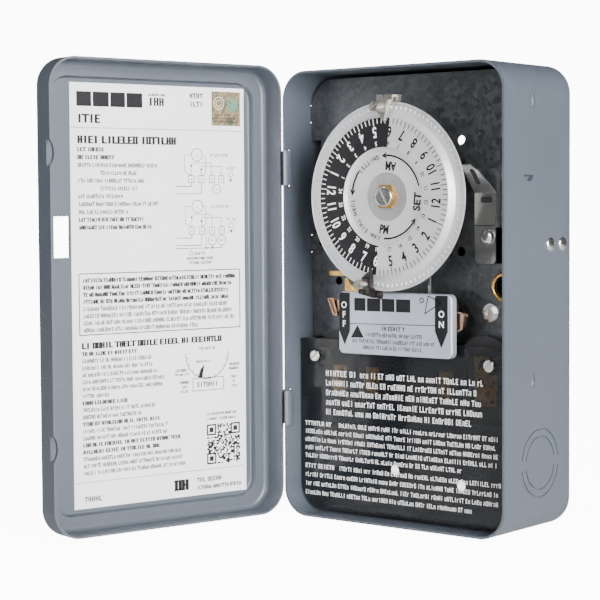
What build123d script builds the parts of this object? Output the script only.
from build123d import *
import os
from math import cos, radians, sin

# A wall-mounted 24 hour time switch in a drawn steel case, door standing open.
# Millimetres. +Z up, front faces -Y, origin at the middle of the case's back face.

# case
case_width = 113.0
case_height = 192.0
case_depth = 54.0
case_wall = 1.0
case_corner = 12.0
case_back_round = 5.0
slide_gap = 0.3          # between pieces that move past each other
fit_gap = 0.1            # between pieces that are fastened together

# lanced features and rivets of the right wall
dimple_places = ((-32.2, 80.0), (-32.2, -33.0))
dimple_rise = 1.9
dimple_width = 3.4
dimple_height = 7.4
hood_y = -35.8
hood_z = 50.2
hood_width = 7.0
hood_height = 5.0
hood_rise = 2.6
rivet_places = (-19.1, -9.6)
rivet_z = 22.0
rivet_radius = 1.5
rivet_head = 2.95
rivet_rise = 1.0
bracket_width = 12.0
bracket_sheet = 1.0
bracket_front = -26.0
bracket_back = -6.0
bracket_foot = 8.0

# wall fixing
fixing_hole = 5.0
fixing_spacing = 152.4
fixing_mid_z = -9.1
spare_hole_x = -36.0
spare_hole_z = -81.5

# conduit knockouts
knockout_large = 28.4
knockout_small = 22.2
knockout_groove = 0.5
knockout_cut = 0.55
knockout_tie = 4.0
knockout_z = -67.1
bottom_knockout_x = 26.0

# door
door_width = 113.8
door_height = 193.8
door_rise = 1.6          # how far the door's middle stands above the case's
door_band_depth = 12.4   # rim to the outside of the border band
door_panel_rise = 2.6    # the middle stands out from the band
door_band_width = 5.8
door_wall = 0.9
door_round = 3.0
door_open = 104.0        # how far open it stands
hinge_radius = 3.85
hinge_tongue = 0.8
hinge_length = 15.0
hinge_heights = (54.7, -49.3)
catch_heights = (60.0, -58.0)
catch_length = 11.0
catch_width = 1.7
catch_bow_in = 2.0
catch_slit = 1.0
window_width = 7.2
window_height = 16.8
window_inset = 9.2       # from the door's free edge to the window
window_z = 26.2
label_width = 86.4
label_height = 175.2
label_thick = 0.15
label_shift = 3.4        # towards the hinge

# movement plate
plate_setback = 18.5
plate_thick = 1.2
plate_top_z = 93.3
plate_bottom_z = -19.0
plate_side_gap = 0.5
plate_tab_heights = (78.6, 21.8)
plate_tab_length = 7.2
plate_notch_low = 26.0
plate_notch_high = 67.0
plate_notch_depth = 5.0
latch_notch_low = 46.5
latch_notch_high = 54.0
lift_slot_width = 3.4
lift_slot_height = 7.4
cutout_left = 39.3
cutout_low = 14.4
cutout_high = 29.0
plate_holes = ((23.6, 64.9, 2.1), (23.6, 19.0, 2.1), (-40.4, 5.6, 1.8), (-50.0, 22.0, 1.6))

# dial
dial_x = 0.6
dial_z = 41.9
dial_radius = 39.1
dial_flange = 34.2
dial_face_radius = 32.6
dial_setforward = 1.9    # front of the dial's rim ahead of the case's rim
dial_face_rise = 3.0
dial_well_radius = 19.9  # well inside the ring of hour numbers
dial_well_edge = 2.15    # depth of the well at its edge
dial_well_floor = 3.15   # and at the hub
dial_sheet = 0.7
hub_radius = 10.0
hub_sheet = 0.25
arbor_radius = 3.0
shaft_gap = 0.05
bush_radius = 6.5
bush_flange = 9.0
nut_flats = 9.6
nut_high = 1.3
screw_head = 4.1
screw_rise = 1.4

# drive gears
gear_module = 0.8
dial_teeth = 64
pinion_teeth = 8
gear_thick = 2.4
gear_setback = 8.6       # gear's back face behind the case's rim
tooth_share = 0.62
pinion_direction = 135.0
motor_radius = 21.0
motor_length = 20.0
motor_shaft = 1.2

# trippers
tripper_radius = 36.7
tripper_tip = 30.4
tripper_top = 41.7
tripper_sheet = 0.8
tripper_width = 7.9
tripper_middle = 0.95
fin_rise = 1.5
on_tripper_angle = -1.5
off_tripper_angle = 168.0
thumb_radius = 1.95
thumb_length = 6.9
thumb_slot = 0.6

tripper_clear = 0.6
thumb_x = 0.5
thumb_shank = 1.1

# nameplate
name_width = 58.2
name_top_z = 1.9
name_bottom_z = -24.5
name_setback = 3.5
name_sheet = 0.8
name_return = 3.4
name_corner = 2.6
stud_x = 20.0
stud_z = -14.5

# override rocker
rocker_z = -4.6
rocker_setback = 9.4
rocker_sheet = 1.2
rocker_bore = 2.0
rocker_bar = 5.0
rocker_reach_on = 33.2
lift_x = 9.5             # pin that works the contacts
lift_pin = 1.2
rocker_reach_off = 38.2
rocker_tab_width = 6.4
rocker_tab_height = 9.3
trip_x = 15.2

# latch lever
lever_x = 36.1
lever_width = 10.2
lever_low_z = 14.2
lever_fold_z = 43.5
lever_sheet = 0.8
lever_tab_rise = 11.6
lever_tab_lean = 10.4
lever_rivet_z = 25.3
lever_slot_z = 40.4
lever_bend_z = 29.6
lever_rivet_x = 37.3
lever_rivet_radius = 1.5
lever_rivet_head = 3.2
lever_rivet_rise = 1.7

# small pieces on the plate
eyelet_x = 45.4
eyelet_z = 4.9
eyelet_radius = 5.3
eyelet_wire = 0.9
eyelet_bore = 4.4
plate_screw_x = 38.4
plate_screw_z = -5.9

# terminal board
board_half = 50.0
board_low_z = -52.0
board_top_z = -19.6
board_thick = 3.0
board_lobe_x = 37.0
board_lobe_radius = 13.3
housing_half = 44.0
housing_depth = 20.0
rib_height = 2.6
rib_places = (-28.4, 0.0, 28.4)
board_lobe_top = -15.2
housing_wall = 3.0
terminal_shank = 1.7
clamp_z = -38.4
clamp_width = 6.4
contact_places = (-26.0, 26.0)
upright_setback = 6.0
upright_thick = 2.4
upright_width = 6.0
terminal_places = (-37.3, -19.8, 18.4, 38.0)
strap_width = 6.6
strap_low_z = -44.0
strap_high_z = -31.0
strap_thick = 0.8
tall_strap_high_z = -23.8
tall_strap_width = 10.6

# insulating shield
shield_setback = 9.7
shield_thick = 0.8
shield_top_z = -19.5
shield_side_gap = 0.6
shield_return = 5.0
post_x = (-46.4, 43.6)
post_z = -26.9
post_radius = 3.2
shield_screw_shank = 1.4

rim_y = -case_depth
plate_y = rim_y + plate_setback
name_y = rim_y + name_setback
shield_y = rim_y + shield_setback
board_y = plate_y - fit_gap - board_thick
rocker_y = rim_y + rocker_setback
gear_y = rim_y + gear_setback
dial_rim_y = rim_y - dial_setforward
dial_face_y = dial_rim_y - dial_face_rise
dial_well_y = dial_face_y + dial_well_edge
dial_hub_y = dial_face_y + dial_well_floor
hinge_x = -case_width / 2 - slide_gap
hinge_y = rim_y - slide_gap
inner_x = case_width / 2 - case_wall
inner_z = case_height / 2 - case_wall
gear_centres = gear_module * (dial_teeth + pinion_teeth) / 2
pinion_x = dial_x + gear_centres * cos(radians(pinion_direction))
pinion_z = dial_z + gear_centres * sin(radians(pinion_direction))

os.makedirs("parts", exist_ok=True)


def front(y):
    """A drawing plane facing the front, at depth y: drawn x is X, drawn y is Z."""
    return Plane(origin=(0, y, 0), x_dir=(1, 0, 0), z_dir=(0, -1, 0))


def slab(sketch, back_y, front_y):
    """A flat sketch given thickness from back_y forward to front_y."""
    return extrude(front(back_y) * sketch, amount=back_y - front_y)


def block(low_x, high_x, low_y, high_y, low_z, high_z):
    """A plain box between its lowest and highest corners."""
    middle = ((low_x + high_x) / 2, (low_y + high_y) / 2, (low_z + high_z) / 2)
    return Pos(*middle) * Box(high_x - low_x, high_y - low_y, high_z - low_z)


def rod(x, z, back_y, front_y, radius):
    """A round bar along Y."""
    return slab(Pos(x, z) * Circle(radius), back_y, front_y)


def turned(profile, x, z):
    """A ring or disc about an axis along Y, from its (radius, y) outline."""
    outline = make_face(Polyline(*profile, close=True))
    return Pos(x, 0, z) * revolve(outline, Axis.Y, 360)


def save(solid, name):
    """One sub-part, written under its node name."""
    export_step(solid, "parts/" + name + ".step")
    print(name, round(solid.volume, 2))


def group(solids):
    """Separate solids that share one node."""
    return Compound(children=list(solids))


# ---- case

def tub(width, height, corner, back_y, front_y, back_round):
    """A rounded block with its back edges rounded off."""
    solid = slab(RectangleRounded(width, height, corner), back_y, front_y)
    return fillet(solid.faces().sort_by(Axis.Y)[-1].edges(), back_round)


def knockout(place):
    """The two tied ring grooves of a combination knockout, sunk from a drawing plane."""
    for_tie = Rectangle(2 * knockout_large, knockout_tie)
    rings = Sketch()
    for size in (knockout_large, knockout_small):
        rings += Circle(size / 2) - Circle(size / 2 - knockout_groove)
    return extrude(place * (rings - for_tie), amount=knockout_cut)


def wall_place(side, y, z):
    """A drawing plane on the outside of a side wall, its normal pointing inwards."""
    return Plane(origin=(side * case_width / 2, y, z), x_dir=(0, 1, 0), z_dir=(-side, 0, 0))


def hinge_slot(z):
    """The slot in the left wall that a hinge tongue curls through."""
    reach = hinge_tongue / 2 + 0.6
    low_y = hinge_y + hinge_radius - reach
    high_y = hinge_y + hinge_radius + reach
    half = hinge_length / 2 + slide_gap
    return block(-case_width / 2 - 1, -inner_x + 1, low_y, high_y, z - half, z + half)


def plate_slot(z):
    """The slot in the left wall that takes a projection of the movement plate."""
    half = plate_tab_length / 2 + slide_gap
    low_y = plate_y - slide_gap
    high_y = plate_y + plate_thick + slide_gap
    return block(-case_width / 2 - 1, -inner_x + 1, low_y, high_y, z - half, z + half)


def hood_opening():
    """The half-round mouth of the lanced hood in the right wall."""
    mouth = wall_place(1, hood_y, hood_z) * Pos(0, hood_height / 4) * Rectangle(hood_width, hood_height / 2)
    oval = wall_place(1, hood_y, hood_z) * Ellipse(hood_width / 2, hood_height / 2)
    return extrude(oval & mouth, amount=case_wall + 1)


def hood():
    """The bulge below the hood's mouth, pressed inwards."""
    bulge = scale(Sphere(1), (hood_rise, hood_width / 2 + case_wall, hood_height / 2 + case_wall))
    space = scale(Sphere(1), (hood_rise - case_wall, hood_width / 2, hood_height / 2))
    below = Pos(-5, 0, -5) * Box(10, 2 * hood_width, 10)
    return Pos(inner_x, hood_y, hood_z) * ((bulge - space) & below)


def case_body():
    """The drawn steel tub with its knockouts, slots and holes."""
    inner_width = case_width - 2 * case_wall
    inner_height = case_height - 2 * case_wall
    inner_corner = case_corner - case_wall
    case = tub(case_width, case_height, case_corner, 0, rim_y, case_back_round)
    case -= tub(inner_width, inner_height, inner_corner, -case_wall, rim_y - 1, case_back_round - case_wall)
    for side in (1, -1):
        case -= knockout(wall_place(side, rim_y / 2, knockout_z))
    for x in (-bottom_knockout_x, bottom_knockout_x):
        case -= knockout(Plane((x, rim_y / 2, -case_height / 2), (1, 0, 0), (0, 0, 1)))
    for z in (fixing_mid_z - fixing_spacing / 2, fixing_mid_z + fixing_spacing / 2):
        case -= rod(0, z, 1, -case_wall - 1, fixing_hole / 2)
    case -= rod(spare_hole_x, spare_hole_z, 1, -case_wall - 1, fixing_hole / 2)
    for z in hinge_heights:
        case -= hinge_slot(z)
    for z in plate_tab_heights:
        case -= plate_slot(z)
    for y in rivet_places:
        case -= Pos(inner_x, y, rivet_z) * Rot(0, 90, 0) * Cylinder(rivet_radius + fit_gap, 4)
    for y, z in dimple_places:
        dimple = scale(Sphere(1), (dimple_rise, dimple_width / 2, dimple_height / 2))
        dent = scale(Sphere(1), (dimple_rise - 0.5, dimple_width / 2 - 0.5, dimple_height / 2 - 0.5))
        inside = block(0, inner_x + 0.5, rim_y, 0, -inner_z, inner_z)
        case += (Pos(inner_x + 0.1, y, z) * dimple) & inside
        case -= Pos(case_width / 2, y, z) * dent
    case += hood()
    case -= hood_opening()
    return case


def wall_bracket():
    """The angle inside the right wall that stands behind the movement plate's cut-out."""
    low_z = rivet_z - bracket_width / 2
    high_z = rivet_z + bracket_width / 2
    leg = block(inner_x - bracket_sheet, inner_x, bracket_front, bracket_back, low_z, high_z)
    foot_front = bracket_front - bracket_sheet
    foot = block(inner_x - bracket_foot, inner_x, foot_front, bracket_front, low_z, high_z)
    bracket = leg + foot
    for y in rivet_places:
        bracket -= Pos(inner_x, y, rivet_z) * Rot(0, 90, 0) * Cylinder(rivet_radius + fit_gap, 4)
    return bracket


def bracket_rivet(y):
    """A round-headed rivet through the right wall and the bracket's leg."""
    grip = case_wall + bracket_sheet
    outside = case_width / 2
    shank = Pos(outside - grip / 2, y, rivet_z) * Rot(0, 90, 0) * Cylinder(rivet_radius, grip)
    ball = scale(Sphere(1), (rivet_rise, rivet_head, rivet_head))
    head = Pos(outside, y, rivet_z) * (ball & Pos(5, 0, 0) * Box(10, 10, 10))
    tail = Pos(outside - grip, y, rivet_z) * (ball & Pos(-5, 0, 0) * Box(10, 10, 10))
    return shank + head + tail


# ---- door, drawn shut and then swung open

def swing_open(solid):
    """A piece of the shut door turned to where the door stands."""
    return solid.rotate(Axis((hinge_x, hinge_y, 0), (0, 0, 1)), -door_open)


def pan(inset, depth_cut):
    """The door's stepped outline, shrunk by a wall: a border band and a raised middle."""
    middle_x = hinge_x + door_width / 2
    width = door_width - 2 * inset
    height = door_height - 2 * inset
    band_y = hinge_y - door_band_depth + depth_cut
    top_y = band_y - door_panel_rise
    band = slab(RectangleRounded(width, height, case_corner - inset), hinge_y, band_y)
    band = fillet(band.faces().sort_by(Axis.Y)[0].edges(), door_round - inset)
    raised_width = width - 2 * door_band_width
    raised_height = height - 2 * door_band_width
    raised_corner = case_corner - door_band_width + 2
    raised = extrude(
        front(band_y + 1) * RectangleRounded(raised_width, raised_height, raised_corner),
        amount=door_panel_rise + 1,
        taper=12,
    )
    raised = fillet(raised.faces().sort_by(Axis.Y)[0].edges(), 0.8)
    return Pos(middle_x, 0, door_rise) * (band + raised)


def hinge_curl(z):
    """A tongue curled about the hinge axis, from the door's flange to just inside the case."""
    ring = Circle(hinge_radius + hinge_tongue / 2) - Circle(hinge_radius - hinge_tongue / 2)
    tip = slide_gap + case_wall + 0.4
    keep = Pos(-5, 0) * Rectangle(10, 20)
    keep += Pos(tip / 2, 5) * Rectangle(tip, 10)
    keep += Pos(door_wall / 2, -5) * Rectangle(door_wall, 10)
    place = Plane(origin=(hinge_x, hinge_y, z - hinge_length / 2))
    return extrude(place * (ring & keep), amount=hinge_length)


def catch_bow(z):
    """The strip of the free flange's edge that is bowed inwards to snap behind the case's rim."""
    radius = (catch_length ** 2 / 4 + catch_bow_in ** 2) / (2 * catch_bow_in)
    edge_x = hinge_x + door_width
    ring = Circle(radius + door_wall) - Circle(radius)
    keep = Pos(-radius, 0) * Rectangle(2 * catch_bow_in + 2 * door_wall, catch_length)
    strip = Pos(edge_x + radius - catch_bow_in, z) * (ring & keep)
    return slab(strip, hinge_y, hinge_y - catch_width)


def door_panel():
    """The drawn door with its hinge tongues, catches and window."""
    free_x = hinge_x + door_width
    door = pan(0, 0) - pan(door_wall, door_wall) - Pos(0, 0.5, 0) * pan(door_wall, door_wall)
    for z in hinge_heights:
        door += hinge_curl(z)
    for z in catch_heights:
        half = catch_length / 2
        low_y = hinge_y - catch_width - catch_slit
        door -= block(free_x - 3, free_x + 1, low_y, hinge_y + 1, z - half, z + half)
        door += catch_bow(z)
    left = free_x - window_inset - window_width
    low = window_z - window_height / 2
    high = window_z + window_height / 2
    door -= block(left, left + window_width, hinge_y - 30, hinge_y - 5, low, high)
    return swing_open(door)


def instruction_label():
    """The paper label on the inside of the door's raised middle."""
    floor_y = hinge_y - door_band_depth - door_panel_rise + door_wall
    x = hinge_x + door_width / 2 - label_shift
    sheet = Pos(x, door_rise) * Rectangle(label_width, label_height)
    return swing_open(slab(sheet, floor_y + 0.05 + label_thick, floor_y + 0.05))


# ---- movement plate and what stands on it

def movement_plate():
    """The galvanised plate that carries the clock, with its notch, cut-out and holes."""
    half = inner_x - plate_side_gap
    tall = 2 * plate_top_z
    outline = RectangleRounded(2 * half, tall, case_corner) & Pos(0, plate_bottom_z + tall) * Rectangle(
        3 * half, 2 * tall
    )
    notch_middle = (plate_notch_low + plate_notch_high) / 2
    notch_height = plate_notch_high - plate_notch_low
    outline -= Pos(-half, notch_middle) * Rectangle(2 * plate_notch_depth, notch_height)
    cut_middle = ((cutout_left + inner_x) / 2, (cutout_low + cutout_high) / 2)
    outline -= Pos(*cut_middle) * Rectangle(inner_x - cutout_left, cutout_high - cutout_low)
    latch_middle = (latch_notch_low + latch_notch_high) / 2
    latch_width = 2 * (hood_rise + slide_gap)
    outline -= Pos(inner_x, latch_middle) * Rectangle(latch_width, latch_notch_high - latch_notch_low)
    outline -= Pos(lift_x, rocker_z) * Rectangle(lift_slot_width, lift_slot_height)
    for z in plate_tab_heights:
        tab = case_width / 2 + 0.6 - half + 1
        outline += Pos(-half + 1 - tab / 2, z) * Rectangle(tab, plate_tab_length)
    for x, z, radius in plate_holes:
        outline -= Pos(x, z) * Circle(radius)
    outline -= Pos(dial_x, dial_z) * Circle(bush_radius + fit_gap)
    outline -= Pos(pinion_x, pinion_z) * Circle(motor_shaft + 1)
    outline -= Pos(eyelet_x, eyelet_z) * Circle(eyelet_bore)
    return slab(outline, plate_y + plate_thick, plate_y)


def dial_bush():
    """The flanged bearing that the dial's arbor turns in."""
    bore = arbor_radius + shaft_gap
    profile = (
        (bore, plate_y - 1.5),
        (bush_flange, plate_y - 1.5),
        (bush_flange, plate_y),
        (bush_radius, plate_y),
        (bush_radius, plate_y + 5),
        (bore, plate_y + 5),
    )
    return turned(profile, dial_x, dial_z)


def drive_motor():
    """The round synchronous motor behind the plate."""
    back = plate_y + plate_thick
    can = rod(pinion_x, pinion_z, back + motor_length, back, motor_radius)
    can = fillet(can.faces().sort_by(Axis.Y)[-1].edges(), 2)
    return can - rod(pinion_x, pinion_z, back + 6, back - 1, motor_shaft + shaft_gap)


def motor_cap():
    """The coil cover on the back of the motor."""
    back = plate_y + plate_thick + motor_length
    return rod(pinion_x, pinion_z, back + 3, back, motor_radius - 5)


def nameplate():
    """A shallow folded tray, open at the back."""
    middle_z = (name_top_z + name_bottom_z) / 2
    height = name_top_z - name_bottom_z
    outer = slab(RectangleRounded(name_width, height, name_corner), name_y + name_return, name_y)
    outer = fillet(outer.faces().sort_by(Axis.Y)[0].edges(), name_sheet * 0.8)
    inner_corner = name_corner - name_sheet
    inner = RectangleRounded(name_width - 2 * name_sheet, height - 2 * name_sheet, inner_corner)
    tray = outer - slab(inner, name_y + name_return + 1, name_y + name_sheet)
    return Pos(0, 0, middle_z) * tray


def nameplate_studs():
    """The two posts between the plate and the nameplate."""
    return [rod(x, stud_z, plate_y, name_y + name_sheet, 2.0) for x in (-stud_x, stud_x)]


def rocker_pivot():
    """The shouldered stud that the override rocker turns on."""
    post = rod(0, rocker_z, plate_y, rocker_y - rocker_sheet - fit_gap, rocker_bore)
    post += rod(0, rocker_z, rocker_y - rocker_sheet - fit_gap, rocker_y - rocker_sheet - 1, rocker_bore + 1.4)
    return post + rod(0, rocker_z, plate_y, rocker_y + fit_gap, rocker_bore + 1.2)


def lipped_tab(outline_points, corner):
    """A flat tab with a raised lip round it, drawn in the rocker's plane."""
    shape = make_face(Polyline(*outline_points, close=True))
    shape = fillet(shape.vertices(), corner)
    flat = slab(shape, rocker_y, rocker_y - rocker_sheet)
    lip = shape - offset(shape, -0.5, kind=Kind.ARC)
    return flat + slab(lip, rocker_y, rocker_y - rocker_sheet - 0.9)


def override_rocker():
    """The manual lever: a bar on a pivot with a finger tab at each end."""
    left = -rocker_reach_off + 4.7
    right = rocker_reach_on - 4.6
    bar = Pos((left + right) / 2, rocker_z) * Rectangle(right - left, rocker_bar)
    lever = slab(bar, rocker_y, rocker_y - rocker_sheet)
    on = rocker_reach_on
    off = -rocker_reach_off
    low = rocker_z - rocker_tab_height
    lever += lipped_tab(
        ((on - rocker_tab_width, rocker_z - 0.6), (on, rocker_z - 0.9), (on - 1.4, low + 1.4), (on - 5, low)),
        1.3,
    )
    lever += lipped_tab(
        ((off, rocker_z + 3.2), (off + 3.4, rocker_z + 3.2), (off + 5.6, low + 5), (off + 3.2, low + 5.2)),
        0.45,
    )
    lever -= rod(lift_x, rocker_z, rocker_y + 1, rocker_y - 5, lift_pin)
    return lever - rod(0, rocker_z, rocker_y + 1, rocker_y - 5, rocker_bore + shaft_gap)


def lift_pin_back():
    """How far back the lift pin reaches, just past the contact carrier's upright."""
    return board_y + board_thick + 9


def lift_pin_rod():
    """The pin in the rocker that passes through the plate to the contact carrier."""
    return rod(lift_x, rocker_z, lift_pin_back(), rocker_y - rocker_sheet, lift_pin)


def trip_finger():
    """The wire finger on the rocker that the trippers push."""
    seat = rocker_y - rocker_sheet
    eye = rod(trip_x, rocker_z + 0.8, seat, seat - 0.9, 1.4)
    return eye + block(trip_x - 0.5, trip_x + 0.5, seat - 0.9, seat, rocker_z + 0.8, rocker_z + 16.0)


def leaf(low_z, high_z):
    """The latch lever's outline between two heights, seen from the front."""
    left = lever_x - lever_width / 2
    right = lever_x + lever_width / 2
    tip_z = lever_fold_z + lever_tab_rise
    shape = make_face(
        Polyline(
            (left, lever_low_z),
            (right, lever_low_z),
            (right, lever_fold_z),
            (right - 3.6, tip_z - 2.6),
            (right - 6.2, tip_z),
            (left, tip_z),
            close=True,
        )
    )
    shape = fillet(shape.vertices().sort_by(Axis.Y)[-3:], 1.4)
    shape = fillet(shape.vertices().sort_by(Axis.Y)[:2], 2.0)
    return shape & Pos(lever_x, (low_z + high_z) / 2) * Rectangle(3 * lever_width, high_z - low_z)


def lever_profile():
    """The latch lever seen from the side: a flat strip, then a finger tab that leans forward."""
    back = plate_y - slide_gap
    tip_y = back - lever_tab_lean
    tip_z = lever_fold_z + lever_tab_rise
    side = Polyline(
        (back, lever_low_z - 1),
        (back, lever_fold_z),
        (tip_y, tip_z + 0.1),
        (tip_y - lever_sheet * 0.8, tip_z - lever_sheet * 0.6),
        (back - lever_sheet, lever_fold_z - 0.3),
        (back - lever_sheet, lever_low_z - 1),
        close=True,
    )
    place = Plane(origin=(lever_x - lever_width, 0, 0), x_dir=(0, 1, 0), z_dir=(1, 0, 0))
    return extrude(place * make_face(side), amount=2 * lever_width)


def lever_part(low_z, high_z):
    """A stretch of the latch lever between two heights."""
    return lever_profile() & slab(leaf(low_z, high_z), plate_y + 1, plate_y - 30)


def latch_lever():
    """The sprung part of the latch lever with its two slots."""
    lever = lever_part(lever_bend_z + slide_gap, lever_fold_z + lever_tab_rise)
    lever -= slab(Pos(lever_x + 0.7, lever_slot_z) * SlotOverall(5.8, 2.6), plate_y + 1, plate_y - 3)
    tab_slot = Pos(lever_x - 1.0, lever_fold_z + 6.2) * Rot(0, 0, 90) * SlotOverall(6.2, 2.3)
    return lever - slab(tab_slot, plate_y + 1, plate_y - 20)


def lever_base():
    """The riveted end of the latch lever."""
    return lever_part(lever_low_z, lever_bend_z) - rod(
        lever_rivet_x, lever_rivet_z, plate_y + 1, plate_y - 3, lever_rivet_radius + fit_gap
    )


def lever_rivet():
    """The domed rivet that holds the latch lever's base."""
    seat = plate_y - slide_gap - lever_sheet
    ball = scale(Sphere(1), (lever_rivet_head, lever_rivet_rise, lever_rivet_head))
    dome = Pos(lever_rivet_x, seat, lever_rivet_z) * (ball & Pos(0, -5, 0) * Box(12, 10, 12))
    return dome + rod(lever_rivet_x, lever_rivet_z, plate_y, seat, lever_rivet_radius)


def eyelet():
    """The rolled brass eyelet in the plate."""
    return Pos(eyelet_x, plate_y - eyelet_wire, eyelet_z) * Rot(90, 0, 0) * Torus(eyelet_radius, eyelet_wire)


def plate_screw():
    """A hexagon-headed screw with its washer face on the plate's washer."""
    seat = plate_y - 0.8
    head = slab(Pos(plate_screw_x, plate_screw_z) * RegularPolygon(2.9, 6), seat, seat - 2.0)
    socket = slab(Pos(plate_screw_x, plate_screw_z) * Circle(1.1), seat - 1.2, seat - 3)
    return head - socket


def plate_washer():
    """The washer under the plate screw."""
    return rod(plate_screw_x, plate_screw_z, plate_y, plate_y - 0.8, 3.75)


def pivot_bracket():
    """The small brass gusset left of the nameplate, on its foot."""
    gusset = make_face(Polyline((-34.5, 6.9), (-34.5, 0.4), (-27.5, 0.4), (-27.5, 2.6), (-31.6, 4.2), (-33.0, 6.9), close=True))
    foot = block(-34.0, -32.6, plate_y - 2.4, plate_y, 0.4, 3.4)
    return slab(gusset, plate_y - 2.4, plate_y - 3.4) + foot


def toggle_link():
    """The copper link end left of the dial."""
    return block(-43.5, -33.5, plate_y - 2.8, plate_y - 1.4, 8.0, 9.9) + rod(-41, 8.95, plate_y, plate_y - 2.8, 0.9)


# ---- dial

def dial_plate():
    """The pressed dial: a rim with a turned-up edge, a bevel, the raised ring of hours and the well inside it."""
    bore = arbor_radius + shaft_gap
    back = dial_rim_y + dial_sheet
    profile = (
        (bore, dial_hub_y),
        (hub_radius + 0.4, dial_hub_y),
        (dial_well_radius, dial_well_y),
        (dial_well_radius + 0.4, dial_face_y),
        (dial_face_radius, dial_face_y),
        (dial_flange, dial_rim_y),
        (dial_radius - 0.9, dial_rim_y),
        (dial_radius - 0.6, dial_rim_y - 0.9),
        (dial_radius, dial_rim_y - 0.9),
        (dial_radius, dial_rim_y - 0.1),
        (dial_radius - 0.5, back),
        (dial_flange - 0.4, back),
        (dial_face_radius - 0.4, dial_face_y + dial_sheet),
        (dial_well_radius + 1.1, dial_face_y + dial_sheet),
        (dial_well_radius + 0.7, dial_well_y + dial_sheet),
        (hub_radius + 0.4, dial_hub_y + dial_sheet),
        (bore, dial_hub_y + dial_sheet),
    )
    return turned(profile, dial_x, dial_z)


def toothed_wheel(teeth, turn):
    """The outline of a spur wheel with straight-sided teeth, one tooth pointing at angle turn."""
    pitch = gear_module * teeth / 2
    root = pitch - 1.1 * gear_module
    tip = pitch + 0.75 * gear_module
    step = 360 / teeth
    wheel = Circle(root)
    wide = gear_module * tooth_share
    for tooth in range(teeth):
        outline = Polyline(
            (root - 0.4, -wide), (root, -wide), (tip, -wide * 0.45), (tip, wide * 0.45), (root, wide), (root - 0.4, wide),
            close=True,
        )
        wheel += Rot(0, 0, turn + tooth * step) * make_face(outline)
    return wheel


def dial_gear():
    """The wheel behind the dial, with the bosses that space it on the arbor."""
    turn = pinion_direction + 180 / dial_teeth
    wheel = slab(Pos(dial_x, dial_z) * toothed_wheel(dial_teeth, turn), gear_y, gear_y - gear_thick)
    back_boss = rod(dial_x, dial_z, plate_y - 1.5 - slide_gap, gear_y, 5.0)
    front_boss = rod(dial_x, dial_z, gear_y - gear_thick, dial_hub_y + dial_sheet, 6.0)
    bore = rod(dial_x, dial_z, 0, dial_face_y - 5, arbor_radius + shaft_gap)
    return wheel + back_boss + front_boss - bore


def dial_arbor():
    """The shaft from the bush to the dial's nut."""
    return rod(dial_x, dial_z, plate_y + 7, dial_hub_y - hub_sheet - nut_high, arbor_radius)


def arbor_clip():
    """The ring that keeps the arbor in its bush."""
    clip = rod(dial_x, dial_z, plate_y + 6.3, plate_y + 5 + slide_gap, 4.6)
    return clip - rod(dial_x, dial_z, plate_y + 9, plate_y, arbor_radius + shaft_gap)


def hub_disc():
    """The plain disc in the middle of the dial."""
    disc = rod(dial_x, dial_z, dial_hub_y, dial_hub_y - hub_sheet, hub_radius)
    return disc - rod(dial_x, dial_z, dial_hub_y + 1, dial_hub_y - 5, arbor_radius + shaft_gap)


def dial_nut():
    """The brass nut that holds the dial on its arbor."""
    seat = dial_hub_y - hub_sheet
    nut = slab(Pos(dial_x, dial_z) * RegularPolygon(nut_flats / 2 / cos(radians(30)), 6), seat, seat - nut_high)
    return nut - rod(dial_x, dial_z, seat + 1, seat - 5, arbor_radius + shaft_gap)


def dial_screw():
    """The slotted screw in the end of the arbor."""
    seat = dial_hub_y - hub_sheet - nut_high
    head = rod(dial_x, dial_z, seat, seat - screw_rise, screw_head)
    head = fillet(head.faces().sort_by(Axis.Y)[0].edges(), 0.5)
    slot = block(-screw_head, screw_head, -screw_rise - 1, -screw_rise + 0.9, -0.45, 0.45)
    return head - Pos(dial_x, seat, dial_z) * Rot(0, 60, 0) * slot


def about_dial(solid, turn):
    """A piece drawn at the top of the dial, turned round it; positive is anticlockwise from the front."""
    return solid.rotate(Axis((dial_x, 0, dial_z), (0, -1, 0)), turn)


def at_dial(sketch):
    """A sketch drawn from the dial's centre."""
    return Pos(dial_x, dial_z) * sketch


def tripper(flip):
    """A tripper at the top of the dial: pointer, folded fin, top wall with its stop, and back jaw."""
    face = dial_face_y - tripper_clear
    left = tripper_middle - tripper_width / 2
    right = tripper_middle + tripper_width / 2
    pointer = make_face(
        Polyline(
            (1.1, tripper_tip),
            (1.9, tripper_tip + 0.5),
            (3.4, 37.0),
            (right, 38.6),
            (right, tripper_top),
            (left, tripper_top),
            (left, 37.5),
            (left + 0.4, 34.6),
            close=True,
        )
    )
    shape = slab(at_dial(pointer), face, face - tripper_sheet)
    fin = make_face(Polyline((1.5, 31.0), (1.9, 30.9), (3.6, 37.3), (3.6, 39.6), (3.0, 39.6), (2.75, 36.4), close=True))
    shape += slab(at_dial(fin), face, face - tripper_sheet - fin_rise)
    back = dial_rim_y + dial_sheet + slide_gap + tripper_sheet
    wall = Pos(tripper_middle, tripper_top - tripper_sheet / 2) * Rectangle(tripper_width, tripper_sheet)
    shape += slab(at_dial(wall), back, face)
    stop = Pos(right + 1.1, tripper_top - 1.2) * Rectangle(2.4, 2.4)
    shape += slab(at_dial(stop), dial_rim_y - 1.0, dial_rim_y - 2.4)
    jaw = Pos(tripper_middle, (35.6 + tripper_top) / 2) * Rectangle(tripper_width - 0.3, tripper_top - 35.6)
    shape += slab(at_dial(jaw), back, back - tripper_sheet)
    shape -= slab(at_dial(Pos(thumb_x, tripper_radius) * Circle(thumb_shank + shaft_gap)), back, face - 5)
    return shape.mirror(Plane.YZ.offset(dial_x)) if flip else shape


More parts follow.
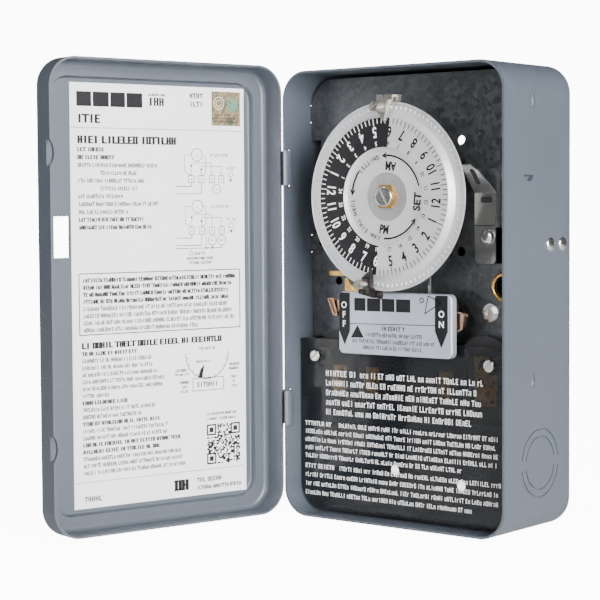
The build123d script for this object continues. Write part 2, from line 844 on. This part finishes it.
def thumbscrew(flip):
    """A slotted thumbscrew that clamps a tripper to the dial's rim."""
    face = dial_face_y - tripper_clear - tripper_sheet
    x = -thumb_x if flip else thumb_x
    grip = slab(at_dial(Pos(x, tripper_radius) * Circle(thumb_radius)), face - fit_gap, face - thumb_length)
    shank = slab(at_dial(Pos(x, tripper_radius) * Circle(thumb_shank)), dial_rim_y - fit_gap, face - 1)
    slot = at_dial(Pos(x, tripper_radius) * Rot(0, 0, 30) * Rectangle(3 * thumb_radius, thumb_slot))
    return grip + shank - slab(slot, face - thumb_length + 0.9, face - thumb_length - 1)


def drive_pinion():
    """The motor's pinion on its shaft."""
    turn = pinion_direction + 180
    outline = Pos(pinion_x, pinion_z) * toothed_wheel(pinion_teeth, turn)
    wheel = slab(outline, gear_y + 0.6, gear_y - gear_thick - 0.6)
    return wheel + rod(pinion_x, pinion_z, plate_y + plate_thick + 5.5, gear_y - gear_thick - 1.4, motor_shaft)


# ---- terminal board

def terminal_board():
    """The black moulding: a front wall with two round lobes, ribs, and a hollow housing behind."""
    back = board_y + board_thick
    middle = (board_low_z + board_top_z) / 2
    wall = Pos(0, middle) * Rectangle(2 * board_half, board_top_z - board_low_z)
    for side in (-1, 1):
        lobe_z = board_lobe_top - board_lobe_radius
        wall += Pos(side * board_lobe_x, lobe_z) * Circle(board_lobe_radius)
    board = slab(wall, back, board_y)
    high = plate_bottom_z - 3
    board += block(-housing_half, housing_half, back, back + housing_depth, board_low_z, high)
    cavity_half = housing_half - housing_wall
    low_in = board_low_z + housing_wall
    high_in = high - housing_wall
    board -= block(-cavity_half, cavity_half, back, back + housing_depth + 1, low_in, high_in)
    slot_half = upright_width / 2 + 2 * slide_gap
    front_gap = back + upright_setback - 2 * slide_gap
    back_gap = back + upright_setback + upright_thick + 2 * slide_gap
    board -= block(lift_x - slot_half, lift_x + slot_half, front_gap, back_gap, high_in - 1, high + 1)
    for x in rib_places:
        board += block(x - 0.8, x + 0.8, board_y - rib_height, board_y, board_low_z + 2, board_top_z - 2)
    for x in terminal_places:
        board -= rod(x, clamp_z, board_y + 2.5, board_y - 1, terminal_shank + fit_gap)
    return board


def housing_cover():
    """The insulating cover on the back of the terminal board's housing."""
    back = board_y + board_thick + housing_depth
    low = board_low_z
    high = plate_bottom_z - 3
    return block(-housing_half, housing_half, back, back + 1.5, low, high)


def terminal_strap(index):
    """A brass strap on the front of the board; the last one is taller, with a hole."""
    x = terminal_places[index]
    tall = index == len(terminal_places) - 1
    width = tall_strap_width if tall else strap_width
    foot = Pos(x, (strap_low_z + strap_high_z) / 2) * Rectangle(width, strap_high_z - strap_low_z)
    if tall:
        neck_height = tall_strap_high_z - strap_high_z
        neck = Pos(x - width / 2 + 3.4, strap_high_z + neck_height / 2) * Rectangle(6.8, neck_height)
        foot += neck
        foot -= Pos(x - 1.3, tall_strap_high_z - 3) * Circle(1.9)
    foot -= Pos(x, clamp_z) * Circle(terminal_shank + fit_gap)
    return slab(foot, board_y, board_y - strap_thick)


def terminal_clamp(x):
    """A saddle that grips a wire end under the terminal screw."""
    seat = board_y - strap_thick - fit_gap
    saddle = block(x - clamp_width / 2, x + clamp_width / 2, seat - 1.5, seat, clamp_z - 3.4, clamp_z + 3.4)
    groove = Pos(x, seat, clamp_z - 2.2) * Rot(0, 90, 0) * Cylinder(0.9, 20)
    groove += Pos(x, seat, clamp_z + 2.2) * Rot(0, 90, 0) * Cylinder(0.9, 20)
    return saddle - groove - rod(x, clamp_z, seat + 1, seat - 5, terminal_shank + fit_gap)


def terminal_screw(x):
    """A slotted binding-head screw."""
    seat = board_y - strap_thick - fit_gap - 1.5
    head = rod(x, clamp_z, seat, seat - 1.3, 2.7)
    slot = slab(Pos(x, clamp_z) * Rot(0, 0, 25) * Rectangle(8, 0.8), seat - 0.6, seat - 3)
    return head - slot + rod(x, clamp_z, board_y + 2, seat, terminal_shank)


def fixed_contacts():
    """The two contacts on the floor of the housing."""
    floor = board_low_z + housing_wall
    back = board_y + board_thick
    return [block(x - 4, x + 4, back + 5, back + 13, floor, floor + 6) for x in contact_places]


def moving_contacts():
    """The two contact tips on the carrier."""
    floor = board_low_z + housing_wall + 6 + slide_gap
    back = board_y + board_thick
    return [block(x - 3, x + 3, back + 6, back + 12, floor, floor + 1.6) for x in contact_places]


def contact_carrier():
    """The bar that carries both moving contacts, with the upright that the rocker's pin lifts."""
    low = board_low_z + housing_wall + 6 + slide_gap + 1.6
    back = board_y + board_thick
    half = housing_half - housing_wall - 2
    bar = block(-half, half, back + 5, back + 13, low, low + 5)
    near = back + upright_setback
    far = near + upright_thick
    side = upright_width / 2
    upright = block(lift_x - side, lift_x + side, near, far, low + 4, rocker_z + 4.5)
    eye = Pos(lift_x, rocker_z) * SlotOverall(2 * lift_pin + 1.2, 2 * lift_pin + 2 * shaft_gap)
    return bar + upright - slab(eye, far + 1, near - 1)


# ---- shield

def shield():
    """The clear sheet over the wiring space, with side and bottom returns."""
    half = inner_x - shield_side_gap
    tall = 2 * (inner_z - shield_side_gap)
    window = Pos(0, shield_top_z - tall / 2) * Rectangle(3 * half, tall)
    face = RectangleRounded(2 * half, tall, case_corner) & window
    sheet = slab(face, shield_y + shield_thick, shield_y)
    for side in (-1, 1):
        outer = side * half
        inner = side * (half - shield_thick)
        low_x = min(outer, inner)
        high_x = max(outer, inner)
        sheet += block(low_x, high_x, shield_y, shield_y + shield_return, shield_top_z - 26, shield_top_z)
    low = -tall / 2
    width = half - case_corner - 2
    sheet += block(-width, width, shield_y, shield_y + shield_return + 3, low, low + shield_thick)
    for x in post_x:
        sheet -= rod(x, post_z, shield_y + 2, shield_y - 1, shield_screw_shank + fit_gap)
    return sheet


def shield_post(x):
    """A post from the terminal board to the shield."""
    post = rod(x, post_z, board_y, shield_y + shield_thick, post_radius)
    return post - rod(x, post_z, board_y - 0.5, shield_y - 1, shield_screw_shank + fit_gap)


def shield_screw(x):
    """A slotted screw that holds the shield to its post."""
    head = rod(x, post_z, shield_y, shield_y - 1.7, 2.6)
    head = fillet(head.faces().sort_by(Axis.Y)[0].edges(), 0.8)
    slot = slab(Pos(x, post_z) * Rot(0, 0, 40) * Rectangle(8, 0.8), shield_y - 0.9, shield_y - 3)
    return head - slot + rod(x, post_z, shield_y + 3.4, shield_y, shield_screw_shank)


save(case_body(), "case_body")
save(wall_bracket(), "wall_bracket")
save(group(bracket_rivet(y) for y in rivet_places), "bracket_rivets")
save(door_panel(), "door_panel")
save(instruction_label(), "instruction_label")
save(movement_plate(), "movement_plate")
save(dial_bush(), "dial_bush")
save(drive_motor(), "drive_motor")
save(motor_cap(), "motor_cap")
save(nameplate(), "nameplate")
save(group(nameplate_studs()), "nameplate_studs")
save(rocker_pivot(), "rocker_pivot")
save(override_rocker(), "override_rocker")
save(lift_pin_rod(), "lift_pin")
save(trip_finger(), "trip_finger")
save(latch_lever(), "latch_lever")
save(lever_base(), "lever_base")
save(lever_rivet(), "lever_rivet")
save(eyelet(), "brass_eyelet")
save(plate_screw(), "plate_screw")
save(plate_washer(), "plate_washer")
save(pivot_bracket(), "pivot_bracket")
save(toggle_link(), "toggle_link")
save(dial_plate(), "dial_plate")
save(dial_gear(), "dial_gear")
save(dial_arbor(), "dial_arbor")
save(arbor_clip(), "arbor_clip")
save(hub_disc(), "hub_disc")
save(dial_nut(), "dial_nut")
save(dial_screw(), "dial_screw")
save(about_dial(tripper(False), on_tripper_angle), "on_tripper")
save(about_dial(thumbscrew(False), on_tripper_angle), "on_thumbscrew")
save(about_dial(tripper(True), off_tripper_angle), "off_tripper")
save(about_dial(thumbscrew(True), off_tripper_angle), "off_thumbscrew")
save(drive_pinion(), "drive_pinion")
save(terminal_board(), "terminal_board")
save(housing_cover(), "housing_cover")
for index in range(len(terminal_places)):
    save(terminal_strap(index), f"terminal_strap_{index + 1}")
save(group(terminal_clamp(x) for x in terminal_places), "terminal_clamps")
save(group(terminal_screw(x) for x in terminal_places), "terminal_screws")
save(group(fixed_contacts()), "fixed_contacts")
save(group(moving_contacts()), "moving_contacts")
save(contact_carrier(), "contact_carrier")
save(shield(), "insulating_shield")
save(group(shield_post(x) for x in post_x), "shield_posts")
save(group(shield_screw(x) for x in post_x), "shield_screws")
